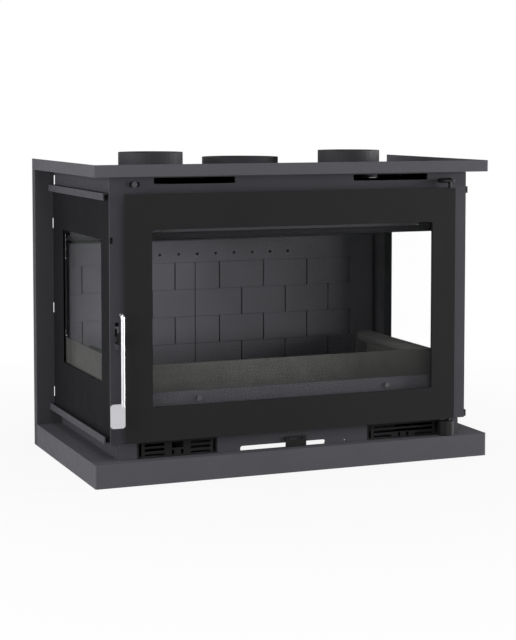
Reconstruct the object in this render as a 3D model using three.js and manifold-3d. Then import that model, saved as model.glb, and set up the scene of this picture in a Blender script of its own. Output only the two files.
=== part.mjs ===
// Fireplace insert with a glass door and two glass sides, standing in a folded steel surround.
// Millimetres. +X is right, +Y is to the back, +Z is up; the origin is under the middle of the object.
import * as THREE from "three";
import { mergeVertices } from "three/addons/utils/BufferGeometryUtils.js";
import Module from "manifold-3d";

const wasm = await Module();
wasm.setup();

// ---------------------------------------------------------------- driving dimensions
const gap = 0.3; // left between pieces that touch
const slideGap = 0.5; // left round a sliding piece

// Surround: plinth, two rear uprights and the top rim.
const surroundWidth = 800;
const surroundDepth = 441;
const surroundHeight = 583;
const surroundSheet = 2.5;
const surroundBend = 4;
const plinthHeight = 44;
const plinthFoot = 20;
const plinthFrontLedge = 27.5;
const plinthSideLedge = 57;
const plinthHole = 3;
const plinthHoleSetback = 18;
const rimBand = 22;
const rimDrop = 20; // from the rim's top edge down to the top plate
const rimSeat = 11; // width of the rim's flange on the top plate
const uprightWidth = 39;
const uprightReturn = 22.5;
const uprightFoot = 18;
const uprightNotch = { width: 3, height: 20, first: 110, pitch: 171.5, count: 3 };

// Base box and body, measured in from the surround.
const sheet = 2.5;
const frameSheet = 3;
const bodySetback = 25.5;
const bodyInset = 36;
const baseInset = 51;
const baseHeight = 30;
const baseProud = 2;
const baseOpening = { halfWidth: 130, depth: 254 };
const plenumHeight = 31.8;
const rearPanelInset = 17;
const rearPanelRelief = 0.5;
const rearSlot = { length: 150, pitch: 180, margin: 4 };
const ductInset = 100;
const ductLip = 12;

// Door.
const doorMargin = 28;
const doorHead = 33.5;
const doorShift = -4.6;
const doorRise = 3.5;
const doorDepth = 18;
const doorPlate = 5;
const doorRebate = 4.4;
const doorRearGap = 3;
const doorInset = 6;
const doorRib = 15;
const doorEdge = 1.5;
const doorLap = 28;
const doorSill = 86.5;
const windowShift = -3.6;
const windowBorder = 50.5;
const windowRise = 63;
const windowHead = 65;
const glassThickness = 4;
const glassLap = 12;
const retainerLap = 10;
const retainerSheet = 2;
const sealInset = 4;
const sealWidth = 9;

// Hinges and latch.
const hingeInset = 9;
const hingeForward = 11;
const pinRadius = 3.2;
const pinInDoor = 20;
const knuckleWidth = 8;
const pivotRadius = 3;
const lugSheet = 4.5;
const lugRise = 12;
const lug = { left: 18.5, right: 8.5, front: 8, radius: 5 };
const lugPlate = { left: 24, right: 16, below: 3 };
const lugSlot = { margin: 2, height: 10, radius: 4 };
const hingeBlock = { left: 20, right: 12, depth: 20, radius: 12, height: 28 };
const collarRadius = 4.5;
const leverReach = 38.75;
const leverRadius = 3.4;
const leverShift = 10;
const leverLength = 156.5;
const leverAbovePivot = 42.7;
const leverBend = 7.5;
const leverTip = 3.5;
const gripWidth = 27;
const gripHeight = 44;
const gripSheet = 3;
const gripRadius = 5;
const pivotLevel = 190.5;
const pivotForward = 8.5;
const pivotDepth = 8; // of the pin's hole in the door's edge
const pivotCollar = 5;
const clawSheet = 4;
const clawRise = 17;
const keeperClearance = 4;
const keeper = { height: 30, depth: 16, overlap: 8 };
const latchSlot = { width: 8.4, height: 50, rise: 4 };

// Side glasses and their rails.
const sideGlassInset = 1;
const railReach = 10;
const railDrop = 13;
const railSetback = 9;
const sideFlange = 26;
const sealBulk = 4.6;
const sealHeight = 9;
const upperPanel = { sheet: 2, lip: 2, lipHeight: 10, backInset: 8, hole: 2, front: 57, rear: 110, rise: 12 };

// Air slots in the front, vents in the base and the air slide.
const topSlot = { length: 158.5, height: 12, inset: 164, below: 2 };
const blankSlot = { length: 19.5, height: 9.5, fromEdge: 14.7, rise: 16.8 };
const airSlot = { left: -112, right: 62, height: 8.5 };
const airNotch = { offset: 40, width: 2, height: 6 };
const airTab = {
  width: 42, height: 19, bend: 11.5, eye: 28, sheet: 2.5, standOff: 4, travelLeft: 90, travelRight: 40,
};
const airStem = { width: 18, depth: 9, rise: 3 };
const airHole = { length: 70, width: 20, setback: 56 };
const airBox = { length: 450, front: 18, back: 38 };
const shutter = { length: 244, sheet: 3, lap: 12, rise: 9, guide: 6 };
const grille = {
  width: 156, inset: 116.5, endSlot: 72.3, slot: 5, inner: 25.6, outer: 64, square: 11, post: 9, row: 5,
  topRow: 3.5, middleRow: 12.5, lowRow: 2.2,
};
const ladder = { top: 3, bottom: 2.5 };

// Firebox.
const linerInset = 21;
const linerSplit = -69;
const linerThickness = 24.4;
const firstJoint = { left: -312, right: -15 };
const brick = { length: 99.5, height: 56.5, joint: 2.5, depth: 8, seam: 1.6, seamDepth: 2, least: 8 };
const airStripDrop = 165.2; // from the firebox top down to the strip's lower edge
const airStripHeight = 45;
const airStripHoles = { count: 8, pitch: 40.8, shift: -3, radius: 3, depth: 20, rise: 17 };
const shelfDepth = 26.5;
const slabInset = 37;
const slabThickness = 52.4;
const hearthRise = 25.2; // of the guards' seat over the slab
const hearthSet = 45;
const hearthSlope = 21;
const hearthLedge = 8;
const apronInset = 1.5;
const apronBolt = { inset: 171, drop: 6.2, radius: 3, head: 5, headHeight: 2.2, nut: 5.5, nutHeight: 3 };
const apronTop = 8;
const guardInset = 43;
const guardHeight = 52.5;
const guardSheet = 4;
const guardRest = 9.4; // from a side guard's end to the rear post
const railRadius = 11;
const railRise = 41.8;
const railFoot = { inner: 24, outer: 20, sheet: 3, above: 2, hole: 2.5, holeIn: 10, holeRise: 11 };
const railRing = { from: 10, to: 4, proud: 0.1 };
const deflector = { inset: 59, drop: 86, setback: 12, nose: 13, brow: 22, jut: 6.5, tuck: 4.5 };
const deflectorLip = { back: 26, chamfer: 14 };
const baffle = { inset: 14, length: 245, thickness: 22, tilt: 18 };
const hanger = { width: 22, setback: 8, side: 1 };
const postLeg = 9.2;
const postDepth = 48;
const postLip = 11.7;
const postSlot = { width: 5.5, height: 59, levels: [137.9, 334.4] };

// Collars on top.
const flueDiameter = 155;
const flueProud = 3;
const flueInset = 130;
const airCollarDiameter = 126;
const airCollarProud = 16;
const airCollarInset = 195;
const airCollarSide = 187; // in from the side of the surround
const collarSheet = 2;
const collarFlange = 11;

// ---------------------------------------------------------------- derived planes and levels
const leverProud = leverReach - bodySetback;
const overallDepth = surroundDepth + leverProud;
const front = leverProud - overallDepth / 2; // front face of the plinth and the rim
const back = overallDepth / 2;
const half = surroundWidth / 2;
const bodyHalf = half - bodyInset;
const bodyFront = front + bodySetback;
const bodyInner = bodyFront + frameSheet;
const uprightFront = back - uprightReturn;
const bodyBack = uprightFront - gap;
const bodyTop = surroundHeight - rimDrop;
const baseHalf = half - baseInset;
const baseFront = bodyFront - baseProud;
const baseBottom = plinthHeight + gap;
const baseTop = plinthHeight + baseHeight;
const floorBottom = baseTop + gap;
const floorTop = floorBottom + frameSheet;
const foot = floorTop + gap; // level at which pieces stand on the floor
const topPlateBottom = bodyTop - frameSheet;
const wallTop = topPlateBottom - gap;
const plenumBottom = bodyTop - plenumHeight;
const plenumFloor = plenumBottom + sheet;

const glassOuter = bodyHalf - sideGlassInset;
const glassInner = glassOuter - glassThickness;
const sideInner = glassInner - gap - sheet; // inner face of what backs the glass
const railOuter = glassOuter + railReach;
const railTop = plenumBottom - gap;
const sideGlassBottom = floorBottom + sheet + gap;
const sideGlassTop = railTop - sheet - gap;

const doorFront = bodyFront - doorDepth;
const doorBottom = baseTop + doorRise;
const doorTop = bodyTop - doorHead;
const doorLeft = doorShift - bodyHalf + doorMargin;
const doorRight = doorShift + bodyHalf - doorMargin;
const windowHalf = bodyHalf - doorMargin - windowBorder;
const windowBottom = doorBottom + windowRise;
const windowTop = doorTop - windowHead;
const rebateBack = doorFront + doorPlate + doorRebate;
const doorBack = bodyFront - doorRearGap;

const hingeX = doorRight - hingeInset;
const hingeY = bodyFront - hingeForward;
const pivotY = bodyFront - pivotForward;
const pivotZ = doorBottom + pivotLevel;
const leverX = doorLeft - leverShift;
const leverY = bodyFront - leverReach + leverRadius;
const leverTop = pivotZ + leverAbovePivot;
const leverBottom = leverTop - leverLength;

const rearWallFront = bodyBack - rearPanelRelief - sheet;
const liningBack = rearWallFront - gap;
const wallFace = liningBack - linerThickness;
const postFront = bodyBack - postDepth;
const airStripBottom = plenumBottom - airStripDrop;
const shelfBottom = airStripBottom + airStripHeight + gap;
const baffleSeat = shelfBottom + sheet + gap;
const baffleTilt = THREE.MathUtils.degToRad(baffle.tilt);
const baffleFront = liningBack - baffle.length * Math.cos(baffleTilt);
const slabTop = foot + slabThickness;
const hearthTop = slabTop + hearthRise;
const hearthFront = bodyFront + hearthSet;
const apronFront = bodyInner + gap;
const boltLevel = hearthTop - apronBolt.drop;
const guardHalf = glassInner - guardInset;
const guardInner = guardHalf - guardSheet;
const guardBottom = hearthTop + gap;
const guardTop = guardBottom + guardHeight;
const sideGuardFront = hearthFront + guardSheet + gap;
const sideGuardBack = postFront - guardRest;

const grilleCentres = {
  left: windowShift - baseHalf + grille.inset,
  right: windowShift + baseHalf - grille.inset,
};
const slideTop = baseBottom + shutter.rise;
const inletFront = bodyFront + airHole.setback;
const shutterFront = inletFront - shutter.lap;
const shutterBack = inletFront + airHole.width + shutter.lap;
const flueY = back - flueInset;
const airCollarY = back - airCollarInset;

// ---------------------------------------------------------------- geometry helpers
function solidFrom(geometry) {
  const bare = new THREE.BufferGeometry();
  bare.setAttribute("position", geometry.getAttribute("position"));
  if (geometry.index) bare.setIndex(geometry.index);
  const welded = mergeVertices(bare, 1e-4);
  const mesh = new wasm.Mesh({
    numProp: 3,
    vertProperties: new Float32Array(welded.getAttribute("position").array),
    triVerts: new Uint32Array(welded.index.array),
  });
  return new wasm.Manifold(mesh);
}

function geometryFrom(solid) {
  const mesh = solid.getMesh();
  const geometry = new THREE.BufferGeometry();
  geometry.setAttribute("position", new THREE.BufferAttribute(mesh.vertProperties, 3));
  geometry.setIndex(new THREE.BufferAttribute(mesh.triVerts, 1));
  const faceted = geometry.toNonIndexed();
  faceted.computeVertexNormals();
  return faceted;
}

function block(x0, x1, y0, y1, z0, z1) {
  const geometry = new THREE.BoxGeometry(Math.abs(x1 - x0), Math.abs(y1 - y0), Math.abs(z1 - z0));
  geometry.translate((x0 + x1) / 2, (y0 + y1) / 2, (z0 + z1) / 2);
  return solidFrom(geometry);
}

// A block given for the right side, on the side that s names: -1 is left, 1 is right.
function sideBlock(s, x0, x1, y0, y1, z0, z1) {
  return block(s * x0, s * x1, y0, y1, z0, z1);
}

function join(first, ...rest) {
  return rest.reduce((made, piece) => made.add(piece), first);
}

function cut(first, ...rest) {
  return rest.reduce((made, piece) => made.subtract(piece), first);
}

const alongX = new THREE.Matrix4().makeBasis(
  new THREE.Vector3(0, 1, 0), new THREE.Vector3(0, 0, 1), new THREE.Vector3(1, 0, 0));
const alongY = new THREE.Matrix4().makeBasis(
  new THREE.Vector3(1, 0, 0), new THREE.Vector3(0, 0, 1), new THREE.Vector3(0, -1, 0));

function extrude(shape, depth, curveSegments = 12) {
  return new THREE.ExtrudeGeometry(shape, { depth, bevelEnabled: false, curveSegments });
}

// A shape drawn in (x, y), between two heights.
function extrudeZ(shape, z0, z1, curveSegments) {
  const geometry = extrude(shape, z1 - z0, curveSegments);
  geometry.translate(0, 0, z0);
  return solidFrom(geometry);
}

// A shape drawn in (x, z), between two depths.
function extrudeY(shape, y0, y1, curveSegments) {
  const geometry = extrude(shape, y1 - y0, curveSegments);
  geometry.applyMatrix4(alongY);
  geometry.translate(0, y1, 0);
  return solidFrom(geometry);
}

// A shape drawn in (y, z), between two widths.
function extrudeX(shape, x0, x1, curveSegments) {
  const geometry = extrude(shape, Math.abs(x1 - x0), curveSegments);
  geometry.applyMatrix4(alongX);
  geometry.translate(Math.min(x0, x1), 0, 0);
  return solidFrom(geometry);
}

function polygon(points) {
  return new THREE.Shape(points.map(([u, v]) => new THREE.Vector2(u, v)));
}

function rounded(u0, u1, v0, v1, radius) {
  const r = Math.min(radius, (u1 - u0) / 2 - 0.01, (v1 - v0) / 2 - 0.01);
  const shape = new THREE.Shape();
  shape.moveTo(u0 + r, v0);
  shape.lineTo(u1 - r, v0);
  shape.absarc(u1 - r, v0 + r, r, -Math.PI / 2, 0, false);
  shape.lineTo(u1, v1 - r);
  shape.absarc(u1 - r, v1 - r, r, 0, Math.PI / 2, false);
  shape.lineTo(u0 + r, v1);
  shape.absarc(u0 + r, v1 - r, r, Math.PI / 2, Math.PI, false);
  shape.lineTo(u0, v0 + r);
  shape.absarc(u0 + r, v0 + r, r, Math.PI, Math.PI * 1.5, false);
  return shape;
}

function circle(u, v, radius) {
  const shape = new THREE.Shape();
  shape.absarc(u, v, radius, 0, Math.PI * 2, false);
  return shape;
}

function withHole(outer, inner) {
  outer.holes.push(inner);
  return outer;
}

// Sheet metal folded along a line of points, its thickness laid off to the left of the line.
function fold(points, thickness) {
  const line = points.map(([u, v]) => new THREE.Vector2(u, v));
  const normals = line.slice(1).map((p, i) => {
    const d = p.clone().sub(line[i]).normalize();
    return new THREE.Vector2(-d.y, d.x);
  });
  const offset = line.map((p, i) => {
    const a = normals[Math.max(i - 1, 0)];
    const b = normals[Math.min(i, normals.length - 1)];
    const mitre = a.clone().add(b).normalize();
    return p.clone().addScaledVector(mitre, thickness / mitre.dot(a));
  });
  return new THREE.Shape([...line, ...offset.reverse()]);
}

// Three sides of a rectangle in plan, open at the back.
function horseshoe(halfWidth, y0, y1, sideWall, frontWall, bend) {
  const outer = rounded(-halfWidth, halfWidth, y0, y1 + bend, bend);
  const inner = rounded(-halfWidth + sideWall, halfWidth - sideWall, y0 + frontWall, y1 + 2 * bend,
    Math.max(bend - frontWall, 0.5));
  return { outer, inner, y0, y1, halfWidth };
}

function horseshoeSolid(plan, z0, z1) {
  const ring = extrudeZ(plan.outer, z0, z1, 3).subtract(extrudeZ(plan.inner, z0 - 1, z1 + 1, 3));
  return ring.intersect(block(-plan.halfWidth, plan.halfWidth, plan.y0, plan.y1, z0, z1));
}

function rodX(x0, x1, y, z, radius, sides = 20) {
  return extrudeX(circle(y, z, radius), x0, x1, sides);
}

function rodY(y0, y1, x, z, radius, sides = 20) {
  return extrudeY(circle(x, z, radius), y0, y1, sides);
}

function rodZ(z0, z1, x, y, radius, sides = 20) {
  return extrudeZ(circle(x, y, radius), z0, z1, sides);
}

// ---------------------------------------------------------------- surround
function plinthFrame() {
  const end = uprightFront - gap;
  const band = horseshoe(half, front, end, surroundSheet, surroundSheet, surroundBend);
  const ledge = horseshoe(half, front, end, plinthSideLedge, plinthFrontLedge, surroundBend);
  const foot = horseshoe(half, front, end, plinthFoot, plinthFoot, surroundBend);
  const frame = join(
    horseshoeSolid(band, 0, plinthHeight),
    horseshoeSolid(ledge, plinthHeight - surroundSheet, plinthHeight),
    horseshoeSolid(foot, 0, surroundSheet),
  );
  const holeBottom = plinthHeight - surroundSheet - 1;
  const hole = rodZ(holeBottom, plinthHeight + 1, doorRight + 2, front + plinthHoleSetback, plinthHole, 10);
  return cut(frame, hole);
}

function topRim() {
  const bandBottom = surroundHeight - rimBand;
  const seat = bodyTop + gap;
  const innerSide = half - bodyHalf + rimSeat;
  const innerFront = bodySetback + rimSeat;
  const band = horseshoe(half, front, back, surroundSheet, surroundSheet, surroundBend);
  const flange = horseshoe(half, front, uprightFront, innerSide, innerFront, surroundBend);
  return join(
    horseshoeSolid(band, bandBottom, surroundHeight),
    horseshoeSolid(flange, seat, seat + surroundSheet),
  );
}

function upright(s) {
  const top = surroundHeight - rimBand - gap;
  const inner = half - uprightWidth;
  const plate = sideBlock(s, inner, half, uprightFront, uprightFront + surroundSheet, 0, top);
  const flange = sideBlock(s, half - surroundSheet, half, uprightFront, back, 0, top);
  const notches = Array.from({ length: uprightNotch.count }, (_, i) => {
    const z = uprightNotch.first + i * uprightNotch.pitch;
    return sideBlock(s, inner - 1, inner + uprightNotch.width, uprightFront - 1,
      uprightFront + surroundSheet + 1, z - uprightNotch.height / 2, z + uprightNotch.height / 2);
  });
  const foot = sideBlock(s, inner - uprightFoot, inner + 1, uprightFront, uprightFront + surroundSheet,
    0, baseTop);
  return cut(join(plate, flange, foot), ...notches);
}

// ---------------------------------------------------------------- base box
function baseFrontPanel() {
  const rear = baseFront + sheet;
  const panel = block(-baseHalf, baseHalf, baseFront, rear, baseBottom, baseTop);
  const cutHalf = grille.width / 2 + gap;
  const bays = Object.values(grilleCentres).map((x) =>
    block(x - cutHalf, x + cutHalf, baseFront - 1, rear, baseBottom - 1, baseTop + 1));
  const ladderTop = block(-baseHalf, baseHalf, rear, rear + sheet, baseTop - ladder.top, baseTop);
  const ladderFoot = (x0, x1) => block(x0, x1, rear, rear + sheet, baseBottom, baseBottom + ladder.bottom);
  const reach = airSlot.height;
  const mouth = rounded(airSlot.left, airSlot.right, baseBottom - reach, baseBottom + reach, 4);
  const notchLeft = airSlot.right + airNotch.offset;
  const notch = rounded(notchLeft, notchLeft + airNotch.width, baseBottom - 1,
    baseBottom + airNotch.height, 1);
  const open = [mouth, notch].map((shape) => extrudeY(shape, baseFront - 1, rear + sheet + 1, 4));
  const feet = [ladderFoot(-baseHalf, airSlot.left), ladderFoot(airSlot.right, baseHalf)];
  return cut(join(cut(panel, ...bays), ladderTop, ...feet), ...open);
}

// Vent plate with a cut pattern of bars; the left one has a square in the middle, the right one long bars.
function ventGrille(centre, square) {
  const width = grille.width / 2;
  const [topRow, middleRow] = [baseTop - grille.topRow, baseTop - grille.middleRow];
  const lowRow = baseBottom + grille.lowRow;
  const holes = [];
  const hole = (x0, x1, z0, z1) => holes.push(extrudeY(
    rounded(centre + x0, centre + x1, z0, z1, 0.8), baseFront - 1, baseFront + sheet + 1, 1));
  const post = (x, z0, z1) => hole(x - grille.slot / 2, x + grille.slot / 2, z0, z1);
  const bars = [[-grille.outer, -grille.inner], [grille.inner, grille.outer]];
  for (const [x0, x1] of bars) hole(x0, x1, lowRow, lowRow + grille.row);
  const upper = square ? bars : [[-grille.outer, grille.outer]];
  for (const [x0, x1] of upper) {
    hole(x0, x1, topRow - grille.row, topRow);
    hole(x0, x1, middleRow - grille.row, middleRow);
  }
  if (square) hole(-grille.square, grille.square, middleRow - 1.5, topRow + 1.5);
  const postTop = square ? middleRow - grille.row : middleRow - grille.row - 1.5;
  for (const s of [-1, 1]) {
    post(s * grille.endSlot, baseBottom + 1.5, baseTop - 2);
    post(s * grille.post, lowRow - 1, postTop);
  }
  const rear = baseFront + sheet - gap;
  const plate = block(centre - width, centre + width, baseFront, rear, baseBottom, baseTop);
  return cut(plate, ...holes);
}

function baseTray() {
  const y0 = baseFront + 2 * sheet + gap;
  const floor = block(-baseHalf, baseHalf, y0, bodyBack, baseBottom, baseBottom + sheet);
  const { halfWidth, depth } = baseOpening;
  const opening = block(-halfWidth, halfWidth, y0 - 1, y0 + depth, baseBottom - 1, baseBottom + sheet + 1);
  const walls = [-1, 1].map((s) =>
    sideBlock(s, baseHalf - sheet, baseHalf, y0, bodyBack, baseBottom, baseTop));
  return join(cut(floor, opening), ...walls);
}

// ---------------------------------------------------------------- body shell
function frontFrame() {
  const openLeft = doorLeft + doorLap;
  const openRight = doorRight - doorLap;
  const face = rounded(-bodyHalf, bodyHalf, floorBottom, wallTop, 1);
  const door = rounded(openLeft, openRight, doorBottom + doorSill, doorTop - doorLap, 1);
  const plate = extrudeY(withHole(face, door), bodyFront, bodyInner, 2);
  const flanges = [-1, 1].map((s) => sideBlock(s, sideInner, sideInner + sheet, bodyInner - 1,
    bodyInner + sideFlange, foot, sideGlassTop));
  const slotZ = topPlateBottom - topSlot.below;
  const slots = [-1, 1].map((s) => {
    const x = s * (bodyHalf - topSlot.inset);
    return rounded(x - topSlot.length / 2, x + topSlot.length / 2, slotZ - topSlot.height, slotZ, 2);
  });
  const blank = blankSlotOutline();
  const lugZ = doorTop + lugRise + lugSheet / 2;
  const hinge = rounded(hingeX - lug.left - lugSlot.margin, hingeX + lug.right + lugSlot.margin,
    lugZ - lugSlot.height / 2, lugZ + lugSlot.height / 2, lugSlot.radius);
  const latchZ = pivotZ + latchSlot.rise;
  const latch = rounded(leverX - latchSlot.width / 2, leverX + latchSlot.width / 2,
    latchZ - latchSlot.height / 2, latchZ + latchSlot.height / 2, 1.5);
  const open = [...slots, blank, hinge, latch].map((shape) =>
    extrudeY(shape, bodyFront - 1, bodyInner + 1, 3));
  const boltHoles = [-1, 1].map((s) => apronBoltHole(s, bodyFront, bodyInner));
  return cut(join(plate, ...flanges), ...open, ...boltHoles);
}

function blankSlotOutline() {
  const x0 = doorLeft + blankSlot.fromEdge;
  const z = doorTop + blankSlot.rise;
  return rounded(x0, x0 + blankSlot.length, z - blankSlot.height / 2, z + blankSlot.height / 2,
    blankSlot.height / 2);
}

function blankBolt() {
  const x = doorLeft + blankSlot.fromEdge + blankSlot.length / 2 - 1;
  const z = doorTop + blankSlot.rise;
  const head = rodY(bodyFront - gap - 3, bodyFront - gap, x, z, blankSlot.height / 2 + 0.8, 8);
  const shank = rodY(bodyFront - gap - 1, bodyInner + gap + 1, x, z, 3, 8);
  const nut = rodY(bodyInner + gap, bodyInner + gap + 3.5, x, z, blankSlot.height / 2 + 1.5, 3);
  return join(head, shank, nut);
}

function bottomPlate() {
  const y0 = bodyInner + gap;
  const plate = block(-sideInner + gap, sideInner - gap, y0, bodyBack, floorBottom, floorTop);
  return cut(plate, airInlet(floorBottom, floorTop));
}

function rearPanel() {
  const y0 = rearWallFront;
  const halfWidth = glassInner - rearPanelInset;
  const wall = block(-halfWidth, halfWidth, y0, y0 + sheet, foot, wallTop);
  const head = block(gap - glassInner, glassInner - gap, y0, y0 + sheet, plenumFloor + gap, wallTop);
  const shelf = block(-halfWidth, halfWidth, y0 - shelfDepth, y0 + 1, shelfBottom, shelfBottom + sheet);
  const slots = [-1, 0, 1].map((i) => {
    const x = i * rearSlot.pitch;
    return block(x - rearSlot.length / 2, x + rearSlot.length / 2, y0 - 1, y0 + sheet + 1,
      plenumFloor + rearSlot.margin, wallTop - rearSlot.margin);
  });
  return cut(join(wall, head, shelf), ...slots);
}

function rearDuct() {
  const y0 = bodyBack + gap;
  const halfWidth = half - ductInset;
  const box = block(-halfWidth, halfWidth, y0, back, baseBottom, wallTop);
  const innerHalf = halfWidth - sheet;
  const hollow = block(-innerHalf, innerHalf, y0 - 1, back - sheet, baseBottom - 1, wallTop - sheet);
  const lips = [-1, 1].map((s) =>
    sideBlock(s, halfWidth - 1, halfWidth + ductLip, y0, y0 + sheet, baseTop, wallTop));
  return join(cut(box, hollow), ...lips);
}

function fireboxTop() {
  const y0 = bodyInner + gap;
  const plate = block(-glassInner, glassInner, y0, rearWallFront - gap, plenumBottom, plenumFloor);
  return cut(plate, rodZ(plenumBottom - 1, plenumFloor + 1, 0, flueY, flueDiameter / 2 - collarSheet, 20));
}

function topPlate() {
  const plate = block(-bodyHalf, bodyHalf, bodyFront, bodyBack, topPlateBottom, bodyTop);
  const bore = (x, y, radius) => rodZ(topPlateBottom - 1, bodyTop + 1, x, y, radius, 20);
  const flueHole = bore(0, flueY, flueDiameter / 2 + slideGap);
  const airRadius = airCollarDiameter / 2 - collarSheet;
  const airHoles = [-1, 1].map((s) => bore(s * (half - airCollarSide), airCollarY, airRadius));
  return cut(plate, flueHole, ...airHoles);
}

// Pipe collar with a flange at its seat.
function collar(x, y, diameter, seat, top) {
  const r = diameter / 2;
  const ring = (outer, z1) =>
    extrudeZ(withHole(circle(x, y, outer), circle(x, y, r - collarSheet)), seat, z1, 20);
  return join(ring(r, top), ring(r + collarFlange, seat + collarSheet));
}

function airCollar(s) {
  const top = surroundHeight + airCollarProud;
  return collar(s * (half - airCollarSide), airCollarY, airCollarDiameter, bodyTop + gap, top);
}

// ---------------------------------------------------------------- side glasses
function sideUpperPanel(s) {
  const y0 = bodyInner + gap;
  const y1 = bodyBack - upperPanel.backInset;
  const inner = glassInner + gap;
  const outer = inner + upperPanel.sheet;
  const wall = sideBlock(s, inner, outer, y0, y1, plenumBottom, wallTop);
  const lip = sideBlock(s, inner, outer + upperPanel.lip, y0, y1, wallTop - upperPanel.lipHeight, wallTop);
  const holes = [y0 + upperPanel.front, y1 - upperPanel.rear].map((y) =>
    rodX(s * (inner - 1), s * (outer + 1), y, plenumBottom + upperPanel.rise, upperPanel.hole, 8));
  return cut(join(wall, lip), ...holes);
}

function sideGlass(s) {
  const outline = rounded(bodyInner + gap, bodyBack - gap, sideGlassBottom, sideGlassTop, 2);
  return extrudeX(outline, s * glassInner, s * glassOuter, 2);
}

// Folded rail that holds one long edge of a side glass: a leg outside the glass and a flange over its edge.
function glassRail(s, upper) {
  const z0 = upper ? railTop - sheet : floorBottom;
  const leg = upper ? [railTop - railDrop, railTop] : [floorBottom, floorBottom + railDrop];
  const y0 = bodyFront + railSetback;
  const inner = upper ? sideInner : sideInner + gap;
  return join(
    sideBlock(s, railOuter - sheet, railOuter, y0, bodyBack, ...leg),
    sideBlock(s, inner, railOuter, y0, bodyBack, z0, z0 + sheet),
  );
}

function glassSeal(s, upper) {
  const z0 = upper ? sideGlassTop - sealHeight : sideGlassBottom;
  const y0 = bodyFront + railSetback + 3;
  const middle = s * (glassOuter + gap + sealBulk / 2);
  const section = rounded(middle - sealBulk / 2, middle + sealBulk / 2, z0, z0 + sealHeight, 2);
  return extrudeY(section, y0, bodyBack, 3);
}

// Channel behind each side glass, with two long slots in the leg that faces the front.
function rearPost(s) {
  const y0 = postFront;
  const outer = glassInner - gap;
  const leg = sideBlock(s, outer - postLeg, outer, y0, y0 + sheet, foot, sideGlassTop);
  const wall = sideBlock(s, outer - sheet, outer, y0, bodyBack, foot, sideGlassTop);
  const lip = sideBlock(s, outer - postLip, outer, bodyBack - sheet, bodyBack, foot, sideGlassTop);
  const x = s * (outer - sheet - postSlot.width / 2);
  const slots = postSlot.levels.map((level) => {
    const z = sideGlassBottom + level;
    return extrudeY(rounded(x - postSlot.width / 2, x + postSlot.width / 2, z - postSlot.height / 2,
      z + postSlot.height / 2, 2.5), y0 - 1, y0 + sheet, 3);
  });
  return cut(join(leg, wall, lip), ...slots);
}

// ---------------------------------------------------------------- firebox
// Refractory board with brick joints cut in its face; joint positions are worked out from a first brick.
function brickBoard(x0, x1, start) {
  const board = block(x0, x1, wallFace, liningBack, foot, airStripBottom - gap);
  const joints = [];
  const groove = (u0, u1, depth, z0, z1) =>
    joints.push(block(u0, u1, wallFace - 1, wallFace + depth, z0, z1));
  let odd = false;
  for (let top = airStripBottom; top > floorTop; top -= brick.height) {
    groove(x0 - 1, x1 + 1, brick.seamDepth, top - brick.seam / 2, top + brick.seam / 2);
    for (let x = odd ? start + brick.length / 2 : start; x < x1 - brick.least; x += brick.length) {
      if (x < x0 + brick.least) continue;
      groove(x - brick.joint / 2, x + brick.joint / 2, brick.depth, top - brick.height, top);
    }
    odd = !odd;
  }
  return cut(board, ...joints);
}

function secondaryAirStrip() {
  const end = glassInner - linerInset;
  const strip = block(-end, end, wallFace, liningBack, airStripBottom, airStripBottom + airStripHeight);
  const z = airStripBottom + airStripHoles.rise;
  const first = airStripHoles.shift - (airStripHoles.count - 1) / 2 * airStripHoles.pitch;
  const holes = Array.from({ length: airStripHoles.count }, (_, i) => rodY(wallFace - 1,
    wallFace + airStripHoles.depth, first + i * airStripHoles.pitch, z, airStripHoles.radius, 8));
  return cut(strip, ...holes);
}

function hearthSlab() {
  const end = glassInner - slabInset;
  const slab = block(-end, end, hearthFront - 1, wallFace - gap, foot, slabTop);
  return cut(slab, airInlet(foot, slabTop));
}

// Sloping sheet between the glasses and the log guards, folded down onto the slab.
function hearthApron() {
  const feet = slabTop + gap;
  const ledgeBack = hearthFront + hearthLedge;
  const frontFold = fold([[ledgeBack, feet], [ledgeBack, hearthTop], [hearthFront, hearthTop],
    [apronFront, boltLevel + apronTop], [apronFront, foot]], sheet);
  const end = sideInner - apronInset;
  const frontSheet = extrudeX(frontFold, -end, end);
  const brim = hearthTop - hearthSlope;
  const sides = [-1, 1].map((s) => {
    const ledge = s * (guardHalf - hearthLedge);
    const line = [[ledge, feet], [ledge, hearthTop], [s * guardHalf, hearthTop], [s * end, brim],
      [s * end, foot]];
    return extrudeY(fold(line, -s * sheet), hearthFront, postFront - gap);
  });
  const boltHoles = [-1, 1].map((s) => apronBoltHole(s, apronFront, apronFront + sheet));
  return cut(join(frontSheet, ...sides), ...boltHoles);
}

function frontLogGuard() {
  const plan = rounded(-guardHalf, guardHalf, guardBottom, guardTop, 1);
  return extrudeY(plan, hearthFront, hearthFront + guardSheet, 2);
}

function sideLogGuard(s) {
  return sideBlock(s, guardInner, guardHalf, sideGuardFront, sideGuardBack, guardBottom, guardTop);
}

// Round rail inside a side guard, with a collar and a foot plate at its back end.
function sideLogRail(s) {
  const x = s * (guardInner - gap - railRadius);
  const z = hearthTop + railRise;
  const footFront = sideGuardBack + gap;
  const footBack = footFront + railFoot.sheet;
  const tube = rodY(sideGuardFront, footFront + 1, x, z, railRadius, 9);
  const ring = rodY(footFront - railRing.from, footFront - railRing.to, x, z, railRadius + railRing.proud, 9);
  const plate = sideBlock(s, guardInner - railFoot.inner, guardInner + railFoot.outer, footFront, footBack,
    guardBottom, z + railFoot.above);
  const holeX = s * (guardInner + railFoot.holeIn);
  const hole = rodY(footFront - 1, footBack + 1, holeX, hearthTop + railFoot.holeRise, railFoot.hole, 4);
  return cut(join(tube, ring, plate), hole);
}

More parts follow.
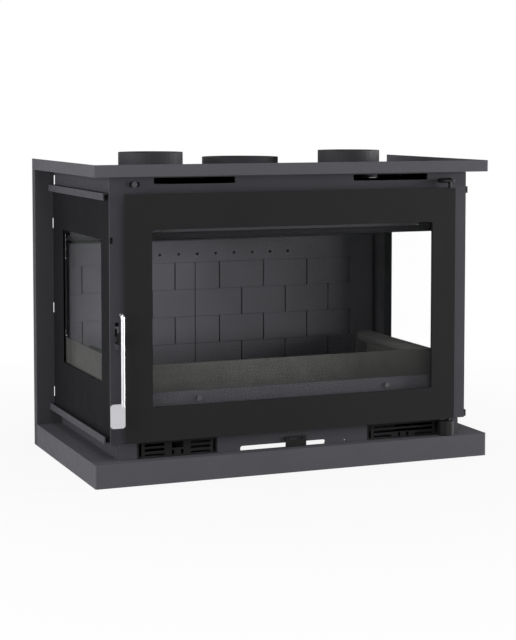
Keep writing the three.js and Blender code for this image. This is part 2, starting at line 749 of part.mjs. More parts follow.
// Folded strip behind the top of the door opening that turns air down over the glass.
function airwashDeflector() {
  const y = bodyFront + deflector.setback;
  const bottom = plenumBottom - deflector.drop - gap;
  const nose = bottom + deflector.nose;
  const brow = bottom + deflector.brow;
  const line = [[y, plenumBottom - gap], [y, brow], [y - deflector.jut, nose], [y - deflector.tuck, bottom]];
  const end = glassInner - deflector.inset;
  const strip = extrudeX(fold(line, sheet), -end, end);
  const corners = [-1, 1].map((s) => {
    const lip = end - deflectorLip.back;
    const corner = polygon([[s * lip, brow + 1], [s * (end + 1), brow + 1], [s * (end + 1), nose],
      [s * (lip - deflectorLip.chamfer), nose]]);
    return extrudeY(corner, y - deflector.setback, y);
  });
  return cut(strip, ...corners);
}

// Height of the baffle's lower face at a depth y.
function baffleUnderside(y) {
  return baffleSeat + (liningBack - y) * Math.tan(baffleTilt);
}

function bafflePlate() {
  const rise = baffle.thickness / Math.cos(baffleTilt);
  const end = glassInner - baffle.inset;
  const [low, high] = [baffleUnderside(liningBack), baffleUnderside(baffleFront)];
  return extrudeX(polygon([[liningBack, low], [liningBack, low + rise], [baffleFront, high + rise],
    [baffleFront, high]]), -end, end);
}

// Cross bar under the front of the baffle, hung from the firebox top by its turned-up ends.
function baffleHanger() {
  const y0 = baffleFront + hanger.setback;
  const y1 = y0 + hanger.width;
  const z1 = baffleUnderside(y1) - gap;
  const inner = glassInner - baffle.inset + hanger.side;
  const ends = [-1, 1].map((s) =>
    sideBlock(s, inner, inner + sheet, y0, y1, z1 - sheet, plenumBottom - gap));
  return join(block(-inner - sheet, inner + sheet, y0, y1, z1 - sheet, z1), ...ends);
}

function apronBoltX(s) {
  return s * (bodyHalf - apronBolt.inset);
}

function apronBoltHole(s, y0, y1) {
  return rodY(y0 - 1, y1 + 1, apronBoltX(s), boltLevel, apronBolt.radius + gap, 6);
}

// Bolt that holds the hearth apron to the sill of the door opening.
function apronBoltPiece(s) {
  const x = apronBoltX(s);
  const headBack = bodyFront - gap;
  const nutFront = apronFront + sheet + gap;
  return join(
    rodY(headBack - apronBolt.headHeight, headBack, x, boltLevel, apronBolt.head, 8),
    rodY(headBack - 1, nutFront + 1, x, boltLevel, apronBolt.radius, 6),
    rodY(nutFront, nutFront + apronBolt.nutHeight, x, boltLevel, apronBolt.nut, 3),
  );
}

// ---------------------------------------------------------------- combustion air slide
// The opening that the slide covers, through a plate or slab between two heights.
function airInlet(z0, z1) {
  const halfLength = airHole.length / 2;
  return block(-halfLength, halfLength, inletFront, inletFront + airHole.width, z0 - 1, z1 + 1);
}

// Box under the firebox floor that feeds it with air, with two lipped guides for the slide.
function airControlBox() {
  const y0 = shutterFront - airBox.front;
  const y1 = shutterBack + airBox.back;
  const floorZ = slideTop + slideGap;
  const halfWidth = airBox.length / 2;
  const innerHalf = halfWidth - sheet;
  const shell = block(-halfWidth, halfWidth, y0, y1, floorZ, baseTop);
  const hollow = block(-innerHalf, innerHalf, y0 + sheet, y1 - sheet, floorZ + sheet, baseTop + 1);
  const lipTop = slideTop - shutter.sheet - slideGap;
  const lipBottom = lipTop - sheet;
  const [frontEdge, backEdge] = [shutterFront - slideGap, shutterBack + slideGap];
  const guide = (wall0, wall1, lip0, lip1) => join(
    block(-halfWidth, halfWidth, wall0, wall1, lipBottom, floorZ + 1),
    block(-halfWidth, halfWidth, lip0, lip1, lipBottom, lipTop));
  const rearGuide = guide(backEdge, backEdge + sheet, shutterBack - shutter.guide, backEdge + 1);
  const frontGuide = guide(frontEdge - sheet, frontEdge, frontEdge - 1, shutterFront + shutter.guide);
  const clear = airStem.width / 2 + 5;
  const run = block(-airTab.travelLeft - clear, airTab.travelRight + clear, y0 - 1,
    shutterFront + shutter.guide + 1, lipBottom - 1, floorZ);
  return join(cut(shell, hollow, airInlet(floorZ, floorZ + sheet)), rearGuide, cut(frontGuide, run));
}

// Shutter plate with a neck and a stem that ends in the tab in front of the base panel.
function airSlide() {
  const plateBottom = slideTop - shutter.sheet;
  const stemBottom = baseBottom + airStem.rise;
  const tabFront = baseFront - airTab.standOff;
  const tabBack = tabFront + airTab.sheet;
  const halfStem = airStem.width / 2;
  const neckBack = shutterFront + airStem.depth;
  const halfLength = shutter.length / 2;
  const plate = block(-halfLength, halfLength, shutterFront, shutterBack, plateBottom, slideTop);
  const stem = block(-halfStem, halfStem, tabBack - 1, neckBack, stemBottom, stemBottom + airTab.sheet);
  const neck = block(-halfStem, halfStem, shutterFront, neckBack, stemBottom, plateBottom + 1);
  const tabBottom = baseBottom + 0.7;
  const tabTop = tabBottom + airTab.height;
  const line = [[tabBack, tabBottom], [tabBack, tabBottom + airTab.bend], [tabBack + 1.2, tabTop]];
  const tab = extrudeX(fold(line, airTab.sheet), -airTab.width / 2, airTab.width / 2);
  const eye = block(-airTab.eye / 2, airTab.eye / 2, tabFront - 2, tabBack + 3, tabTop - 6.5, tabTop - 2.5);
  return join(cut(plate, airInlet(plateBottom, slideTop)), stem, neck, cut(tab, eye));
}

// ---------------------------------------------------------------- door
function windowRing(margin, radius) {
  return rounded(windowShift - windowHalf - margin, windowShift + windowHalf + margin,
    windowBottom - margin, windowTop + margin, radius);
}

function doorRing(inset, radius) {
  return rounded(doorLeft + inset, doorRight - inset, doorBottom + inset, doorTop - inset, radius);
}

function doorFrame() {
  const plateBack = doorFront + doorPlate;
  const plate = extrudeY(withHole(doorRing(0, doorEdge), windowRing(0, 3)), doorFront, plateBack, 3);
  const pocket = glassLap + 0.5;
  const pocketRing = withHole(doorRing(doorInset, 2), windowRing(pocket, 2));
  const rebate = extrudeY(pocketRing, plateBack - 0.5, rebateBack, 3);
  const ribRing = withHole(doorRing(doorInset, 2), doorRing(doorInset + doorRib, 3));
  const rib = extrudeY(ribRing, rebateBack - 0.5, doorBack, 3);
  const knuckle = (z0, z1) =>
    block(hingeX - knuckleWidth, doorRight - doorInset, plateBack - 0.5, doorBack, z0, z1);
  const knuckles = [
    knuckle(doorBottom, doorBottom + doorInset + 1),
    knuckle(doorTop - doorInset - 1, doorTop),
  ];
  const pinHole = (z0, z1) => rodZ(z0, z1, hingeX, hingeY, pinRadius + gap, 5);
  const pinHoles = [
    pinHole(doorBottom - 1, doorBottom + pinInDoor + 1),
    pinHole(doorTop - pinInDoor - 1, doorTop + 1),
  ];
  const holeLeft = doorLeft + doorInset;
  const pivotHole = rodX(holeLeft - 1, holeLeft + pivotDepth, pivotY, pivotZ, pivotRadius + slideGap, 5);
  return cut(join(plate, rebate, rib, ...knuckles), ...pinHoles, pivotHole);
}

function doorGlass() {
  const y0 = doorFront + doorPlate + gap;
  return extrudeY(windowRing(glassLap, 2), y0, y0 + glassThickness, 2);
}

function glassRetainer() {
  const y0 = rebateBack + gap;
  const ring = withHole(windowRing(glassLap + retainerLap, 3), windowRing(3, 3));
  return extrudeY(ring, y0, y0 + retainerSheet, 2);
}

function doorSeal() {
  const inset = doorInset + sealInset;
  const ring = withHole(doorRing(inset, 4), doorRing(inset + sealWidth, 3));
  return extrudeY(ring, doorBack + gap, bodyFront - gap, 3);
}

function upperHinge() {
  const z0 = doorTop + lugRise;
  const plateY = bodyInner + gap;
  const lugPlan = rounded(hingeX - lug.left, hingeX + lug.right, hingeY - lug.front, plateY + sheet,
    lug.radius);
  const lugPiece = extrudeZ(lugPlan, z0, z0 + lugSheet, 2);
  const backing = block(hingeX - lugPlate.left, hingeX + lugPlate.right, plateY, plateY + sheet,
    plenumFloor + gap, wallTop - lugPlate.below);
  const pin = rodZ(doorTop - pinInDoor, z0 + 1, hingeX, hingeY, pinRadius, 5);
  return join(lugPiece, backing, pin);
}

function lowerHinge() {
  const z0 = baseBottom;
  const z1 = baseBottom + hingeBlock.height;
  const x0 = hingeX - hingeBlock.left;
  const x1 = hingeX + hingeBlock.right;
  const y1 = baseFront - gap;
  const y0 = y1 - hingeBlock.depth;
  const plan = rounded(x0, x1, y0, y1 + hingeBlock.radius, hingeBlock.radius);
  const body = extrudeZ(plan, z0, z1, 3).intersect(block(x0, x1, y0, y1, z0, z1));
  const collarRing = rodZ(z1 - 1, doorBottom - gap, hingeX, hingeY, collarRadius, 6);
  const pin = rodZ(z1 - 1, doorBottom + pinInDoor, hingeX, hingeY, pinRadius, 5);
  return join(body, collarRing, pin);
}

// ---------------------------------------------------------------- handle and latch
function handleLever() {
  const top = leverTop + leverRadius;
  const bendY = leverY + leverBend;
  const bendZ = top - leverBend;
  const start = new THREE.Vector3(leverX, leverY, bendZ);
  const corner = new THREE.Vector3(leverX, leverY, top);
  const end = new THREE.Vector3(leverX, bendY, top);
  const extrudePath = new THREE.QuadraticBezierCurve3(start, corner, end);
  const section = circle(0, 0, leverRadius);
  const bend = new THREE.ExtrudeGeometry(section, { steps: 6, extrudePath, curveSegments: 8 });
  const rod = rodZ(leverBottom - 6, bendZ + 0.2, leverX, leverY, leverRadius, 8);
  const tip = rodY(bendY - 0.2, bendY + leverTip, leverX, top, leverRadius, 8);
  const y0 = leverY - gripSheet / 2;
  const x1 = leverX + leverRadius;
  const gripBottom = leverBottom - gripHeight;
  const gripPlan = rounded(x1 - gripWidth, x1, gripBottom, leverBottom, gripRadius);
  const grip = extrudeY(gripPlan, y0, y0 + gripSheet, 2);
  return join(rod, solidFrom(bend), tip, grip);
}

function latchClaw() {
  const x0 = leverX - clawSheet / 2;
  const rear = leverY + leverRadius + gap;
  const upper = [[-9, 12], [3, 9], [13, 5], [16, clawRise], [21, clawRise - 1]];
  const lower = [[23, 2], [18, -8], [6, -11], [-8, -10]];
  const outline = polygon([[rear, pivotZ - 7], [rear, pivotZ + 12],
    ...[...upper, ...lower].map(([y, z]) => [pivotY + y, pivotZ + z])]);
  const hole = circle(pivotY, pivotZ, pivotRadius + gap);
  return extrudeX(withHole(outline, hole), x0, x0 + clawSheet, 5);
}

function pivotPin() {
  const clawLeft = leverX - clawSheet / 2;
  const clawRight = leverX + clawSheet / 2;
  return join(
    rodX(clawLeft - gap - 1, doorLeft + doorInset + pivotDepth - 1, pivotY, pivotZ, pivotRadius, 5),
    rodX(clawLeft - gap - 3.5, clawLeft - gap, pivotY, pivotZ, pivotCollar, 5),
    rodX(clawRight + gap, doorLeft - 2 * gap, pivotY, pivotZ, pivotCollar, 5),
  );
}

// Angle behind the left column; its lip stands just above the nose of the closed claw.
function latchKeeper() {
  const y0 = bodyInner + gap;
  const z0 = pivotZ + clawRise + keeperClearance;
  const x0 = -sideInner + gap;
  return join(
    block(x0, leverX + keeper.overlap, y0, y0 + sheet, z0, z0 + keeper.height),
    block(x0, leverX + keeper.overlap, y0, y0 + keeper.depth, z0, z0 + sheet),
  );
}

// ---------------------------------------------------------------- materials
function paint(color, roughness, metalness) {
  return new THREE.MeshStandardMaterial({ color, roughness, metalness });
}

const finishes = {
  surround: () => paint(0x55555a, 0.62, 0.25),
  body: () => paint(0x45454a, 0.62, 0.25),
  door: () => paint(0x262627, 0.5, 0.2),
  inner: () => paint(0x3a3a3c, 0.8, 0.2),
  galvanised: () => paint(0x8d8f92, 0.45, 0.8),
  liner: () => paint(0x66656a, 0.92, 0),
  castIron: () => paint(0x4a4a47, 0.7, 0.5),
  stainless: () => paint(0xcfd0d2, 0.25, 1),
  darkSteel: () => paint(0x1d1d1f, 0.45, 0.6),
  seal: () => paint(0x151515, 0.95, 0),
  sideGlass: () => Object.assign(paint(0x202224, 0.08, 0), { transparent: true, opacity: 0.35 }),
  doorGlass: () => Object.assign(paint(0x222426, 0.06, 0), { transparent: true, opacity: 0.35 }),
};

// ---------------------------------------------------------------- assembly
const insert = new THREE.Group();

function place(parent, name, solid, finish) {
  const mesh = new THREE.Mesh(geometryFrom(solid), finishes[finish]());
  mesh.name = name;
  parent.add(mesh);
}

function group(...parts) {
  const made = new THREE.Group();
  parts.forEach(([name, solid, finish]) => place(made, name, solid, finish));
  insert.add(made);
}

group(
  ["plinth_frame", plinthFrame(), "surround"],
  ["top_rim", topRim(), "surround"],
  ["upright_left", upright(-1), "surround"],
  ["upright_right", upright(1), "surround"],
);

group(
  ["base_front_panel", baseFrontPanel(), "body"],
  ["vent_grille_left", ventGrille(grilleCentres.left, true), "body"],
  ["vent_grille_right", ventGrille(grilleCentres.right, false), "body"],
  ["base_tray", baseTray(), "inner"],
  ["air_control_box", airControlBox(), "galvanised"],
  ["air_slide", airSlide(), "darkSteel"],
);

group(
  ["front_frame", frontFrame(), "body"],
  ["blank_bolt", blankBolt(), "stainless"],
  ["bottom_plate", bottomPlate(), "inner"],
  ["rear_panel", rearPanel(), "inner"],
  ["rear_duct", rearDuct(), "galvanised"],
  ["firebox_top", fireboxTop(), "inner"],
  ["top_plate", topPlate(), "body"],
  ["flue_collar", collar(0, flueY, flueDiameter, plenumFloor + gap, surroundHeight + flueProud), "body"],
  ["air_collar_left", airCollar(-1), "body"],
  ["air_collar_right", airCollar(1), "body"],
);

for (const [side, s] of [["left", -1], ["right", 1]]) {
  group(
    [`side_upper_panel_${side}`, sideUpperPanel(s), "body"],
    [`side_glass_${side}`, sideGlass(s), "sideGlass"],
    [`glass_rail_top_${side}`, glassRail(s, true), "surround"],
    [`glass_rail_bottom_${side}`, glassRail(s, false), "surround"],
    [`glass_seal_top_${side}`, glassSeal(s, true), "seal"],
    [`glass_seal_bottom_${side}`, glassSeal(s, false), "seal"],
    [`rear_post_${side}`, rearPost(s), "inner"],
    [`side_log_guard_${side}`, sideLogGuard(s), "castIron"],
    [`side_log_rail_${side}`, sideLogRail(s), "castIron"],
    [`apron_bolt_${side}`, apronBoltPiece(s), "stainless"],
  );
}

group(
  ["brick_board_left", brickBoard(linerInset - glassInner, linerSplit - gap / 2, firstJoint.left), "liner"],
  ["brick_board_right", brickBoard(linerSplit + gap / 2, glassInner - linerInset, firstJoint.right), "liner"],
  ["secondary_air_strip", secondaryAirStrip(), "liner"],
  ["hearth_slab", hearthSlab(), "liner"],
  ["hearth_apron", hearthApron(), "body"],
  ["front_log_guard", frontLogGuard(), "castIron"],
  ["airwash_deflector", airwashDeflector(), "inner"],
  ["baffle_plate", bafflePlate(), "liner"],
  ["baffle_hanger", baffleHanger(), "inner"],
);

group(
  ["door_frame", doorFrame(), "door"],
  ["door_glass", doorGlass(), "doorGlass"],
  ["door_glass_retainer", glassRetainer(), "inner"],
  ["door_seal", doorSeal(), "seal"],
  ["handle_pivot_pin", pivotPin(), "darkSteel"],
);

group(
  ["handle_lever", handleLever(), "stainless"],
  ["latch_claw", latchClaw(), "darkSteel"],
);

group(
  ["upper_hinge", upperHinge(), "darkSteel"],
  ["lower_hinge", lowerHinge(), "body"],
  ["latch_keeper", latchKeeper(), "inner"],
);

export default insert;
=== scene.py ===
"""Looks of the fireplace insert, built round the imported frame. Metres, +Z up, front towards -Y."""

import math

import bmesh
import bpy
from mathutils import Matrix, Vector


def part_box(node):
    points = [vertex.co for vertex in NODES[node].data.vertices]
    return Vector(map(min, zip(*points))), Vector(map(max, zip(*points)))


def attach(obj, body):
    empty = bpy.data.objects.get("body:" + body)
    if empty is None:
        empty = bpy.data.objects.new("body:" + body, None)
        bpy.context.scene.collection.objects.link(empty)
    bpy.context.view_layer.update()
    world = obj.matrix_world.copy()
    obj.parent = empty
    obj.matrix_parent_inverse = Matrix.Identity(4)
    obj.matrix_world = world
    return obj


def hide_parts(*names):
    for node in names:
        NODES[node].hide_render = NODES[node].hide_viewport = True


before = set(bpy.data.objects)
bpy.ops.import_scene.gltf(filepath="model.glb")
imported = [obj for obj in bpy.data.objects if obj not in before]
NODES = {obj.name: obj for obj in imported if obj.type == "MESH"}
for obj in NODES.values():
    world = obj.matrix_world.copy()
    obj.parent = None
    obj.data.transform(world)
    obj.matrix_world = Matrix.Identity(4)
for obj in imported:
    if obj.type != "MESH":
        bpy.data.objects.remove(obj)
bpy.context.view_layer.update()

# Clear window of the side panes inside their print.
WINDOW_BACK = 0.1306
WINDOW_FRONT = -0.1314
WINDOW_FOOT = 0.180
WINDOW_HEAD = 0.444

# Back lining: where its two boards meet, and their upper edge; the half width of the painted shade line along
# the seam.
BOARD_SEAM = -0.069
BOARD_TOP = 0.3659
SEAM_SHADE_HALF_WIDTH = 0.0011

# Small fittings inside the left pane: clearances, sheets and heights.
PLATE_CLEARANCE = 0.0005
PLATE_SHEET = 0.002
PLATE_FOOT = 0.009
PLATE_HEIGHTS = (0.160, 0.2305)
PLATE_ENDS = (-0.178, 0.1467)
CLIP_CLEARANCE = 0.0004
CLIP_SHEET = 0.0012
CLIP_FOOT = 0.004
CLIP_HEIGHTS = {"upper": (0.3863, 0.4430), "lower": (0.2318, 0.2440)}
CLIP_ENDS = (0.1352, 0.1468)
FITTING_ROUNDING = 0.0002
LONGEST_ROUNDED_EDGE = 0.1

# Plug at the left edge of the front frame.
PLUG_EDGE = (0.0003, 0.0052)
PLUG_HEIGHTS = (0.4405, 0.4515)
PLUG_FACE = (0.0011, 0.0001)

# Edge rounding by kind of piece.
SURROUND_EDGE = 0.0011
SHEET_EDGE = 0.0006
GUARD_EDGE = 0.0009
HANDLE_EDGE = 0.0005

# Studio.
FLOOR_HALF = 30
FLOOR_GREY = 0.5
FLOOR_FADE = 3
WORLD_LEVEL = 0.22
CAMERA_PLACE = (-1.2214, -3.0269, 0.6803)
CAMERA_PITCH = 3.9
CAMERA_TURN = -21.9816
CAMERA_SENSOR = 36
CAMERA_LENS = 92.588
CAMERA_SHIFT = -0.1525


# ---------------------------------------------------------------- material helpers
def srgb(r, g, b):
    """Linear colour of an 8-bit screen colour."""
    def channel(value):
        value /= 255
        return value / 12.92 if value <= 0.04045 else ((value + 0.055) / 1.055) ** 2.4
    return (channel(r), channel(g), channel(b), 1)


def scaled(colour, factor):
    return (*(min(1, c * factor) for c in colour[:3]), 1)


class Nodes:
    """A material's node tree with short ways to add and link nodes."""

    def __init__(self, name):
        self.material = bpy.data.materials.new(name)
        self.material.use_nodes = True
        self.tree = self.material.node_tree
        self.tree.nodes.clear()
        self.output = self.add("ShaderNodeOutputMaterial")
        self.position = self.add("ShaderNodeTexCoord").outputs["Object"]

    def add(self, kind, **values):
        node = self.tree.nodes.new(kind)
        for key, value in values.items():
            setattr(node, key, value)
        return node

    def link(self, a, b):
        self.tree.links.new(a, b)

    def stretch(self, scale):
        mapping = self.add("ShaderNodeMapping")
        mapping.inputs["Scale"].default_value = scale
        self.link(self.position, mapping.inputs["Vector"])
        return mapping.outputs["Vector"]

    def noise(self, scale, detail=3, roughness=0.55, distortion=0, stretch=None):
        node = self.add("ShaderNodeTexNoise")
        node.inputs["Scale"].default_value = scale
        node.inputs["Detail"].default_value = detail
        node.inputs["Roughness"].default_value = roughness
        node.inputs["Distortion"].default_value = distortion
        self.link(self.stretch(stretch) if stretch else self.position, node.inputs["Vector"])
        return node.outputs["Fac"]

    def ramp(self, value, *stops):
        node = self.add("ShaderNodeValToRGB")
        elements = node.color_ramp.elements
        while len(elements) < len(stops):
            elements.new(0.5)
        for element, (at, colour) in zip(elements, stops):
            element.position = at
            element.color = colour if isinstance(colour, tuple) else (colour, colour, colour, 1)
        self.link(value, node.inputs["Fac"])
        return node.outputs["Color"]

    def maths(self, operation, a, b):
        node = self.add("ShaderNodeMath", operation=operation)
        for socket, value in zip(node.inputs, (a, b)):
            if isinstance(value, (int, float)):
                socket.default_value = value
            else:
                self.link(value, socket)
        return node.outputs["Value"]

    def mix(self, factor, a, b, blend="MIX"):
        node = self.add("ShaderNodeMix", data_type="RGBA", blend_type=blend)
        for socket, value in zip((node.inputs[0], node.inputs[6], node.inputs[7]), (factor, a, b)):
            if isinstance(value, (int, float, tuple)):
                socket.default_value = value
            else:
                self.link(value, socket)
        return node.outputs[2]

    def bump(self, height, distance, strength=1, normal=None):
        node = self.add("ShaderNodeBump")
        node.inputs["Strength"].default_value = strength
        node.inputs["Distance"].default_value = distance
        self.link(height, node.inputs["Height"])
        if normal:
            self.link(normal, node.inputs["Normal"])
        return node.outputs["Normal"]

    def principled(self, **inputs):
        node = self.add("ShaderNodeBsdfPrincipled")
        for key, value in inputs.items():
            socket = node.inputs[key.replace("_", " ")]
            if isinstance(value, (int, float, tuple)):
                socket.default_value = value
            else:
                self.link(value, socket)
        self.link(node.outputs["BSDF"], self.output.inputs["Surface"])
        return node


def paint(name, colour, roughness=0.62, grain=0.00006, clouds=0.05, specular=0.14):
    """Matt powder paint: fine orange-peel bump, faint cloudy shade and a few pale, powdery specks."""
    n = Nodes(name)
    cloud = n.ramp(n.noise(7, 5, 0.6), (0.3, scaled(colour, 1 - clouds)), (0.7, scaled(colour, 1 + clouds)))
    fleck = n.ramp(n.noise(900, 1), (0.62, (0, 0, 0, 1)), (0.72, (1, 1, 1, 1)))
    tint = n.mix(n.maths("MULTIPLY", fleck, 0.10), cloud, scaled(colour, 1.9))
    rough = n.ramp(n.noise(60, 4), (0.3, roughness - 0.05), (0.7, roughness + 0.07))
    peel = n.bump(n.noise(1500, 2, 0.6), grain)
    wave = n.bump(n.noise(45, 2, 0.5), grain * 2.2, 1, peel)
    n.principled(Base_Color=tint, Roughness=rough, Normal=wave, Specular_IOR_Level=specular)
    return n.material


def sooted_with_lit_tops(name, colour, top_highlight):
    """Sooted sheet whose faces that look up carry a painted highlight: a pale tone standing in for light from
    above.
    """
    n = Nodes(name)
    normal = n.add("ShaderNodeSeparateXYZ")
    n.link(n.add("ShaderNodeNewGeometry").outputs["Normal"], normal.inputs["Vector"])
    # Painted highlight: upward faces are mixed towards the pale top colour, standing in for the light that
    # falls on them from above.
    up = n.ramp(normal.outputs["Z"], (0.25, 0.0), (0.45, 1.0))
    share = n.maths("MULTIPLY", up, n.ramp(n.noise(30, 4), (0.2, 0.8), (0.7, 1.0)))
    cloud = n.ramp(n.noise(12, 4), (0.3, scaled(colour, 0.85)), (0.7, scaled(colour, 1.15)))
    n.principled(Base_Color=n.mix(share, cloud, top_highlight), Roughness=0.8, Specular_IOR_Level=0.1,
                 Normal=n.bump(n.noise(600, 3), 0.00006))
    return n.material


def steel(name, colour, roughness, stretch, metallic=1.0, scratch=0.00004):
    """Sheet steel with fine lines along the rolling direction."""
    n = Nodes(name)
    lines = n.noise(900, 4, 0.7, 0.1, stretch)
    smear = n.noise(18, 3, 0.6)
    tint = n.mix(n.maths("MULTIPLY", smear, 0.5), scaled(colour, 0.9), scaled(colour, 1.08))
    rough = n.ramp(lines, (0.3, roughness - 0.06), (0.7, roughness + 0.08))
    n.principled(Base_Color=tint, Metallic=metallic, Roughness=rough, Normal=n.bump(lines, scratch))
    return n.material


def cast_iron(name, colour):
    """Rough cast surface: pebbled skin with darker pits."""
    n = Nodes(name)
    broad = n.ramp(n.noise(26, 5, 0.65), (0.3, scaled(colour, 0.86)), (0.7, scaled(colour, 1.12)))
    pit = n.ramp(n.noise(420, 2), (0.3, scaled(colour, 0.7)), (0.42, (1, 1, 1, 1)))
    tint = n.mix(0.35, broad, n.mix(1.0, broad, pit, "MULTIPLY"))
    skin = n.bump(n.noise(480, 4, 0.7), 0.00035)
    n.principled(Base_Color=tint, Roughness=n.ramp(n.noise(90, 3), (0.3, 0.62), (0.7, 0.8)), Normal=skin,
                 Specular_IOR_Level=0.3)
    return n.material


def refractory(name, colour, seam=None):
    """Pressed refractory board: grey with pale and sooty clouds, grains and small chips.

    A seam is the x at which two boards meet; their face then gets painted shade that grows to its right, for
    light falling off across the wall, and a dark painted line of shade along the seam, for the gap between
    the boards."""
    n = Nodes(name)
    cloud = n.ramp(n.noise(5.5, 6, 0.62, 0.4), (0.28, scaled(colour, 0.8)), (0.5, colour),
                   (0.72, scaled(colour, 1.12)))
    grains = n.ramp(n.noise(700, 3, 0.7), (0.35, 0.0), (0.65, 1.0))
    tint = n.mix(n.maths("MULTIPLY", grains, 0.16), cloud, scaled(colour, 1.35))
    if seam is not None:
        place = n.add("ShaderNodeSeparateXYZ")
        n.link(n.position, place.inputs["Vector"])
        # Painted shade: the face darkens towards +x, standing in for the light falling off across the wall.
        along = n.maths("ADD", place.outputs["X"], n.maths("MULTIPLY", n.noise(9, 3), 0.12))
        painted_falloff = n.ramp(n.maths("ADD", along, 0.5), (0.34, 1.0), (0.56, 0.66), (0.76, 0.42))
        tint = n.mix(1.0, tint, painted_falloff, "MULTIPLY")
        # Painted shade: a dark line along the seam, below the boards' upper edge, for the shade in the gap
        # between the boards.
        off = n.maths("ABSOLUTE", n.maths("SUBTRACT", place.outputs["X"], seam), 0)
        seam_shade = n.maths("MULTIPLY", n.maths("LESS_THAN", off, SEAM_SHADE_HALF_WIDTH),
                       n.maths("LESS_THAN", place.outputs["Z"], BOARD_TOP))
        tint = n.mix(seam_shade, tint, scaled(colour, 0.15))
    fine = n.bump(n.noise(420, 3, 0.7), 0.00008)
    dents = n.bump(n.noise(75, 3, 0.6), 0.0004, 0.7, fine)
    n.principled(Base_Color=tint, Roughness=0.88, Normal=dents, Specular_IOR_Level=0.2)
    return n.material


def rope(name, colour):
    """Braided glass-fibre rope, seen as short slanting strands."""
    n = Nodes(name)
    wave = n.add("ShaderNodeTexWave", wave_type="BANDS", bands_direction="DIAGONAL")
    wave.inputs["Scale"].default_value = 160
    wave.inputs["Distortion"].default_value = 3
    wave.inputs["Detail"].default_value = 2
    n.link(n.position, wave.inputs["Vector"])
    strands = wave.outputs["Fac"]
    tint = n.ramp(strands, (0.1, scaled(colour, 0.6)), (0.9, scaled(colour, 1.5)))
    n.principled(Base_Color=tint, Roughness=0.95, Normal=n.bump(strands, 0.0008), Specular_IOR_Level=0.15)
    return n.material


def printed_glass(name, colour):
    """Black ceramic print fired onto glass: smooth, with a faint speckle."""
    n = Nodes(name)
    cloud = n.ramp(n.noise(9, 4), (0.3, scaled(colour, 0.92)), (0.7, scaled(colour, 1.08)))
    dots = n.ramp(n.noise(1100, 1), (0.6, (0, 0, 0, 1)), (0.7, (1, 1, 1, 1)))
    tint = n.mix(n.maths("MULTIPLY", dots, 0.08), cloud, scaled(colour, 2.2))
    rough = n.ramp(n.noise(40, 3), (0.3, 0.56), (0.7, 0.64))
    n.principled(Base_Color=tint, Roughness=rough, Specular_IOR_Level=0.012,
                 Normal=n.bump(n.noise(1300, 2), 0.00001))
    return n.material


def clear_glass(name, straight, grazing):
    """Thin clear glass: light passes straight through, with a weak mirror that grows at grazing angles."""
    n = Nodes(name)
    haze = n.ramp(n.noise(14, 3), (0.35, 0.02), (0.8, 0.05))
    clear = n.add("ShaderNodeBsdfTransparent")
    mirror = n.add("ShaderNodeBsdfGlossy")
    n.link(haze, mirror.inputs["Roughness"])
    mirror.inputs["Color"].default_value = (0.9, 0.95, 0.95, 1)
    facing = n.add("ShaderNodeLayerWeight").outputs["Facing"]
    rise = n.maths("MULTIPLY", n.maths("POWER", facing, 5), grazing)
    shader = n.add("ShaderNodeMixShader")
    n.link(n.maths("ADD", rise, straight), shader.inputs["Fac"])
    n.link(clear.outputs["BSDF"], shader.inputs[1])
    n.link(mirror.outputs["BSDF"], shader.inputs[2])
    n.link(shader.outputs["Shader"], n.output.inputs["Surface"])
    return n.material


RIM = paint("surround_paint", srgb(80, 79, 84))
# Darker copy of the surround paint: painted shade for the shadow that the body and rim cast on the uprights.
SHADED_UPRIGHT = paint("upright_shaded_paint", srgb(62, 62, 66))
BODY = paint("body_paint", srgb(68, 67, 72))
SHADE = paint("inner_paint", srgb(58, 58, 62), 0.7)
# Dark sooted sheet with a painted highlight on its upward faces.
SOOTED_LIT_TOPS = sooted_with_lit_tops("deflector_paint", srgb(30, 30, 32), srgb(112, 111, 116))
LOW_PLATE = paint("low_plate_paint", srgb(57, 57, 55), 0.7)
PALE = steel("clip_steel", srgb(240, 240, 242), 0.5, (1, 1, 1), 0.1)
RUBBER = paint("plug_black", srgb(14, 14, 15), 0.7)
HEARTH = paint("hearth_paint", srgb(82, 81, 88), 0.6)
DOOR = paint("door_paint", srgb(34, 34, 35), 0.62, 0.00004, specular=0.08)
COLLAR = paint("collar_paint", srgb(64, 64, 67))
DARK = paint("blackened_steel", srgb(30, 30, 31), 0.55)
BOLT = steel("bolt_steel", srgb(96, 96, 98), 0.4, (1, 1, 1))
BRIGHT = steel("handle_steel", srgb(216, 216, 220), 0.3, (9, 9, 0.6), 1.0, 0.00003)
IRON = cast_iron("guard_iron", srgb(74, 74, 72))
BRICK = refractory("lining", srgb(88, 87, 93))
# Lining boards with painted shade towards the right and along their seam.
BOARD = refractory("lining_board", srgb(96, 95, 101), BOARD_SEAM)
ROPE = rope("rope_seal", srgb(30, 30, 31))
PRINT = printed_glass("glass_print", srgb(29, 29, 31))
DOOR_GLASS = clear_glass("door_glass_clear", 0.003, 0.05)
SIDE_GLASS = clear_glass("side_glass_clear", 0.004, 0.06)


# ---------------------------------------------------------------- finishes of the frame's nodes
def pair(name):
    return [f"{name}_left", f"{name}_right"]


